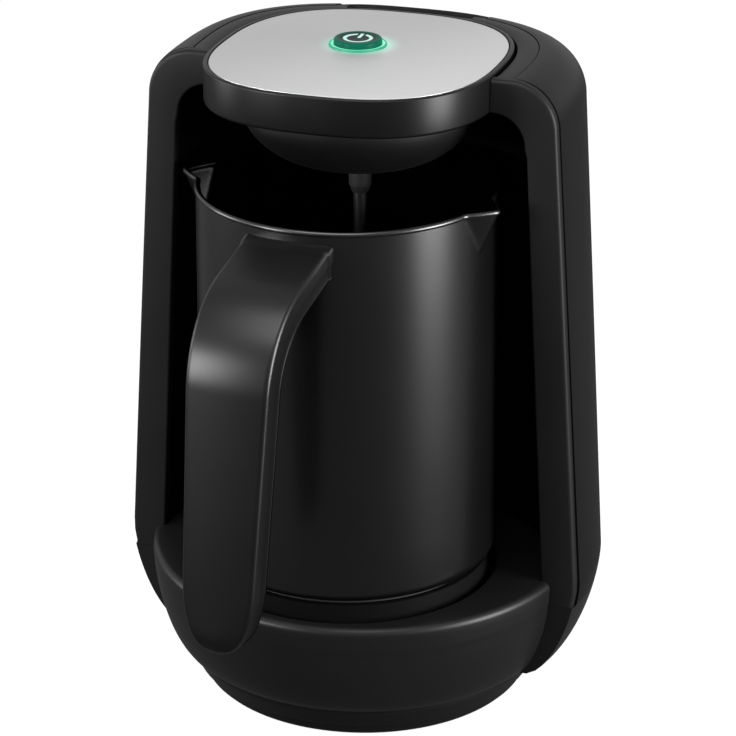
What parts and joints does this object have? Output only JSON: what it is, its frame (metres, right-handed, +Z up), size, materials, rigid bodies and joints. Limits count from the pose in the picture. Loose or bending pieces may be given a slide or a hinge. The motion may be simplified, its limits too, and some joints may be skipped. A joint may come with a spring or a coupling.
{
  "type": "turkish coffee maker",
  "caption": "Compact electric turkish coffee maker with a black squircle body, flip-up head with sensor probe and lit power button, and a lift-off pot with a hooked handle.",
  "frame": {"origin": "on the table under the middle of the whole, the pot's handle included", "axes": "+Z up, -Y towards the user, +X to the right as seen from the front"},
  "size_m": [0.15, 0.1831, 0.2072],
  "materials": {
    "shell_gloss": "black, satin gloss moulding",
    "frame_satin": "black, satin gloss moulding",
    "liner_matte": "black, fine matt moulding",
    "base_gloss": "black, satin gloss moulding",
    "foot_satin": "black, satin moulding",
    "rubber": "matt rubber",
    "screw_steel": "zinc plated",
    "gland_plastic": "matt",
    "connector_plastic": "matt",
    "contact_brass": "plated",
    "board_green": "solder mask",
    "coil_copper": "taped winding",
    "relay_blue": "moulded",
    "capacitor_sleeve": "shrink sleeve",
    "loom_sleeve": "woven sleeve",
    "pin_steel": "ground",
    "band_gloss": "black gloss moulding",
    "plate_metal": "fine satin",
    "dome_satin": "black satin moulding",
    "ring_glow": "translucent, lit",
    "switch_plastic": "matt",
    "sleeve_metal": "satin",
    "rod_steel": "polished",
    "seal_silicone": "silicone",
    "button_cap": "smoked, lit from below",
    "pot_gloss": "black gloss coat on steel",
    "pot_base_plastic": "satin",
    "heater_aluminium": "cast",
    "thermostat_ceramic": "ceramic",
    "handle_gloss": "black satin gloss moulding",
    "handle_satin": "black satin moulding",
    "bracket_steel": "stamped"
  },
  "bodies": {
    "base": {"outer_shell": "shell_gloss", "front_frame": "frame_satin", "bay_liner": "liner_matte", "base_housing": "base_gloss", "base_plate": "foot_satin", "rubber_pads": "rubber", "base_screws": "screw_steel", "cord_gland": "gland_plastic", "base_connector": "connector_plastic", "connector_contacts": "contact_brass", "power_board": "board_green", "transformer": "coil_copper", "heater_relay": "relay_blue", "filter_capacitor": "capacitor_sleeve", "wiring_loom": "loom_sleeve", "hinge_pin": "pin_steel"},
    "head": {"lid_shell": "band_gloss", "top_plate": "plate_metal", "lid_dome": "dome_satin", "light_ring": "ring_glow", "button_switch": "switch_plastic", "control_board": "board_green", "buzzer": "switch_plastic", "probe_sleeve": "sleeve_metal", "probe_rod": "rod_steel", "probe_seal": "seal_silicone", "lid_screws": "screw_steel"},
    "button": {"power_button": "button_cap"},
    "pot": {"pot_body": "pot_gloss", "pot_base": "pot_base_plastic", "heater_plate": "heater_aluminium", "pot_connector": "connector_plastic", "thermostat": "thermostat_ceramic", "base_seal": "seal_silicone", "handle_shell": "handle_gloss", "handle_liner": "handle_satin", "handle_bracket": "bracket_steel", "handle_screws": "screw_steel"}
  },
  "joints": [
    {"name": "head_hinge", "type": "hinge", "parent": "base", "child": "head", "pos_m": [0, 0.07133, 0.199], "axis": [-1, 0, 0], "range_deg": [0, 75]},
    {"name": "power_button_press", "type": "slide", "parent": "head", "child": "button", "axis": [0, 0, -1], "range_m": [0, 0.001], "stiffness_N_per_m": 600, "springref_m": -0.001},
    {"name": "pot_lift", "type": "slide", "parent": "base", "child": "pot", "axis": [0, 0, 1], "range_m": [0, 0.01]}
  ]
}
